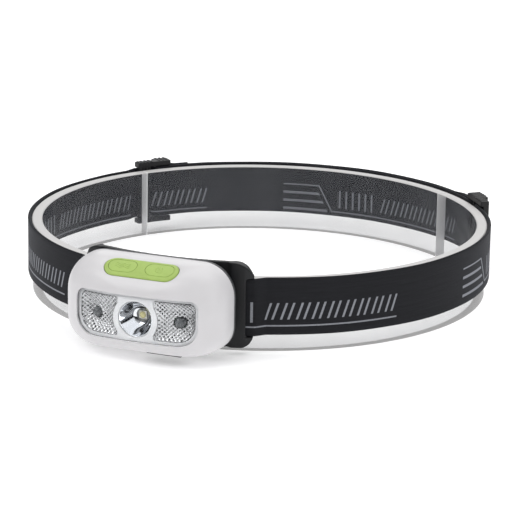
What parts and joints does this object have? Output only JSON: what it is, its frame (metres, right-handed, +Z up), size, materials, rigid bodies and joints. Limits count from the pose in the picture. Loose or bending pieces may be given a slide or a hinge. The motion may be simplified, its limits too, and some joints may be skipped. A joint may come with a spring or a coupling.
{
  "type": "headlamp",
  "caption": "Rechargeable headlamp: tilting rounded lamp head with key pad, wide window and reflectors on an adjustable elastic headband held round by a clear former.",
  "frame": {"origin": "under the middle of the object's box, on the plane the clear band former stands on", "axes": "+Z up, through the headband's opening; -Y the way the lamp shines; +X to the right of the lamp seen from in front with -Y towards the viewer"},
  "size_m": [0.211, 0.243, 0.0419],
  "materials": {
    "webbing": "woven elastic",
    "black_plastic": "moulded",
    "white_plastic": "satin",
    "clear_former": "clear acrylic",
    "clear_lens": "clear polycarbonate",
    "chrome": "vacuum metallised",
    "green_silicone": "matt silicone",
    "black_rubber": "soft",
    "grey_rubber": "soft",
    "steel": "plated",
    "circuit": "solder mask",
    "led_phosphor": "phosphor",
    "star_board": "white mask",
    "led_dome": "tinted epoxy",
    "cell_foil": "foil pouch",
    "wire_red": "insulation",
    "wire_black": "insulation"
  },
  "bodies": {
    "headband": {"headband_webbing": "webbing", "bracket": "black_plastic", "hinge_pin": "steel"},
    "lamp_head": {"front_shell": "white_plastic", "lens": "clear_lens", "reflector_carrier": "white_plastic", "main_reflector": "chrome", "side_reflector_left": "chrome", "side_reflector_right": "chrome", "side_led_left": "led_dome", "side_led_right": "led_dome", "main_led": "led_phosphor", "led_star_board": "star_board", "circuit_board": "circuit", "usb_socket": "steel", "motion_sensor": "led_dome", "switch_board": "circuit", "tact_switch_sensor": "black_plastic", "tact_switch_power": "black_plastic", "battery_cell": "cell_foil", "battery_lead_red": "wire_red", "battery_lead_black": "wire_black", "rim_gasket": "grey_rubber", "rear_shell": "black_plastic", "screw_1": "steel", "screw_2": "steel", "screw_3": "steel", "screw_4": "steel", "button_pad": "green_silicone"},
    "sensor_key": {"sensor_key": "green_silicone"},
    "power_key": {"power_key": "green_silicone"},
    "usb_cover": {"usb_cover": "black_rubber"},
    "slider_left": {"slider_left": "black_plastic"},
    "slider_right": {"slider_right": "black_plastic"},
    "band_former": {"band_former_front": "clear_former", "band_former_back": "clear_former"}
  },
  "joints": [
    {"name": "lamp_tilt", "type": "hinge", "parent": "headband", "child": "lamp_head", "pos_m": [0, -0.09514, 0.0075], "axis": [1, 0, 0], "range_deg": [0, 60]},
    {"name": "sensor_key_press", "type": "slide", "parent": "lamp_head", "child": "sensor_key", "axis": [0, 0.515, -0.8572], "range_m": [0, 0.0005], "stiffness_N_per_m": 1600, "springref_m": -0.0004},
    {"name": "power_key_press", "type": "slide", "parent": "lamp_head", "child": "power_key", "axis": [0, 0.515, -0.8572], "range_m": [0, 0.0005], "stiffness_N_per_m": 1600, "springref_m": -0.0004},
    {"name": "usb_cover_open", "type": "hinge", "parent": "lamp_head", "child": "usb_cover", "pos_m": [0.0025, -0.11094, 0.0038], "axis": [0, 1, 0], "range_deg": [0, 95]},
    {"name": "slider_left_adjust", "type": "hinge", "parent": "headband", "child": "slider_left", "pos_m": [0, 0.01406, 0.02], "axis": [0, 0, 1], "range_deg": [-8, 8], "deforming": ["headband_webbing"]},
    {"name": "slider_right_adjust", "type": "hinge", "parent": "headband", "child": "slider_right", "pos_m": [0, 0.01406, 0.02], "axis": [0, 0, 1], "range_deg": [-8, 8], "deforming": ["headband_webbing"]},
    {"name": "band_former_lift", "type": "slide", "parent": "headband", "child": "band_former", "axis": [0, 0, 1], "range_m": [0, 0.06]}
  ]
}
